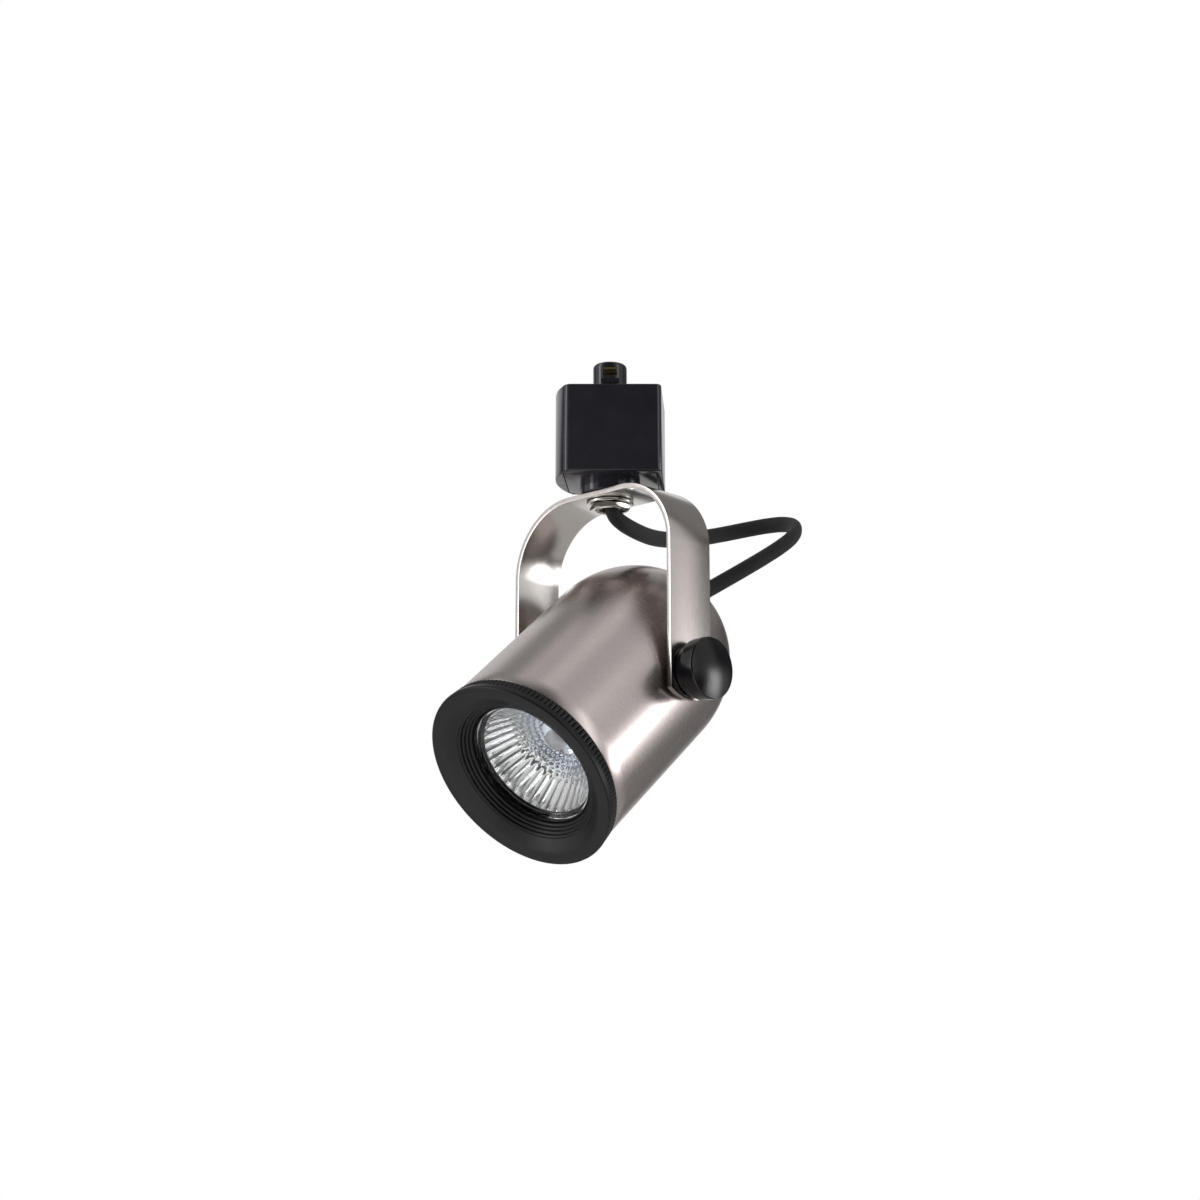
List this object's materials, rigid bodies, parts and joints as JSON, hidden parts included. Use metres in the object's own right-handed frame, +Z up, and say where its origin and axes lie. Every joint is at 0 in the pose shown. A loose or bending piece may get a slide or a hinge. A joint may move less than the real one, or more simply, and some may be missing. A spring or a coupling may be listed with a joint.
{
  "type": "track spotlight",
  "caption": "Line-voltage track spotlight: twist-lock track adapter, swivelling yoke with thumb knobs, and a round-back cylinder head with a stepped black baffle and a reflector lamp.",
  "frame": {"origin": "centre of the adapter's seat, the plane that closes on the underside of the track, on the pan axis", "axes": "+Z up along the pan axis, +X along the track, +Y across it"},
  "size_m": [0.1458, 0.1431, 0.1957],
  "materials": {
    "gloss_black_plastic": "moulded plastic, high gloss",
    "satin_black_plastic": "moulded plastic, fine satin texture",
    "matt_black_paint": "matt black powder coat",
    "brushed_nickel": "nickel plate, brushed along the strip, lacquered",
    "can_brushed_nickel": "nickel plate, brushed round the can, lacquered",
    "bright_nickel": "bright nickel plate",
    "zinc_plated_steel": "zinc plate",
    "contact_brass": "bare spring brass",
    "white_ceramic": "unglazed steatite",
    "coated_reflector_glass": "mirror-coated pressed glass with facets",
    "clear_glass": "clear glass",
    "tungsten_wire": "drawn wire",
    "black_braid": "braided sleeve",
    "black_lead": "wire insulation",
    "white_lead": "wire insulation",
    "green_lead": "wire insulation"
  },
  "bodies": {
    "adapter": {"adapter_front_shell": "gloss_black_plastic", "adapter_rear_shell": "gloss_black_plastic", "adapter_screw_left": "zinc_plated_steel", "adapter_screw_right": "zinc_plated_steel", "adapter_bottom_plate": "gloss_black_plastic", "contact_turret": "gloss_black_plastic", "line_contact_blade": "contact_brass", "neutral_contact_blade": "contact_brass", "ground_contact_blade": "contact_brass", "adapter_lead_line": "black_lead", "adapter_lead_neutral": "white_lead", "adapter_lead_ground": "green_lead"},
    "yoke": {"yoke": "brushed_nickel", "swivel_nipple": "bright_nickel", "pan_stop_washer": "zinc_plated_steel", "nipple_lock_nut": "zinc_plated_steel", "yoke_washer": "bright_nickel", "yoke_nut": "bright_nickel", "supply_cable": "black_braid"},
    "head": {"head_can": "can_brushed_nickel", "bayonet_pin_1": "bright_nickel", "bayonet_pin_2": "bright_nickel", "bayonet_pin_3": "bright_nickel", "cable_bushing": "satin_black_plastic", "bushing_nut": "zinc_plated_steel", "socket_bracket": "zinc_plated_steel", "lamp_socket": "white_ceramic", "socket_screw_left": "zinc_plated_steel", "socket_screw_right": "zinc_plated_steel", "ground_screw": "contact_brass", "pivot_nut_left": "zinc_plated_steel", "pivot_nut_right": "zinc_plated_steel", "friction_washer_left": "satin_black_plastic", "friction_washer_right": "satin_black_plastic", "head_lead_line": "black_lead", "head_lead_neutral": "white_lead", "head_lead_ground": "green_lead"},
    "knob_right": {"knob_right": "satin_black_plastic", "knob_screw_right": "zinc_plated_steel"},
    "knob_left": {"knob_left": "satin_black_plastic", "knob_screw_left": "zinc_plated_steel"},
    "baffle": {"baffle_ring": "matt_black_paint"},
    "lamp": {"lamp_reflector": "coated_reflector_glass", "lamp_front_glass": "clear_glass", "lamp_base": "white_ceramic", "lamp_pin_left": "bright_nickel", "lamp_pin_right": "bright_nickel", "lamp_capsule": "clear_glass", "lamp_filament": "tungsten_wire"}
  },
  "joints": [
    {"name": "yoke_pan", "type": "hinge", "parent": "adapter", "child": "yoke", "pos_m": [0, 0, 0], "axis": [0, 0, 1], "range_deg": [-121.2, 208.8]},
    {"name": "head_tilt", "type": "hinge", "parent": "yoke", "child": "head", "pos_m": [0, 0, -0.1138], "axis": [0.7218, -0.6921, 0], "range_deg": [-40, 40], "deforming": ["supply_cable"]},
    {"name": "knob_right_turn", "type": "hinge", "parent": "head", "child": "knob_right", "pos_m": [0, 0, -0.1138], "axis": [0.7218, -0.6921, 0], "range_deg": [0, 540]},
    {"name": "knob_left_turn", "type": "hinge", "parent": "head", "child": "knob_left", "pos_m": [0, 0, -0.1138], "axis": [-0.7218, 0.6921, 0], "range_deg": [0, 540]},
    {"name": "baffle_twist", "type": "hinge", "parent": "head", "child": "baffle", "pos_m": [0, 0, -0.1138], "axis": [-0.531, -0.5537, -0.6414], "range_deg": [0, 25]},
    {"name": "lamp_twist", "type": "hinge", "parent": "head", "child": "lamp", "pos_m": [0, 0, -0.1138], "axis": [-0.531, -0.5537, -0.6414], "range_deg": [0, 40]}
  ]
}
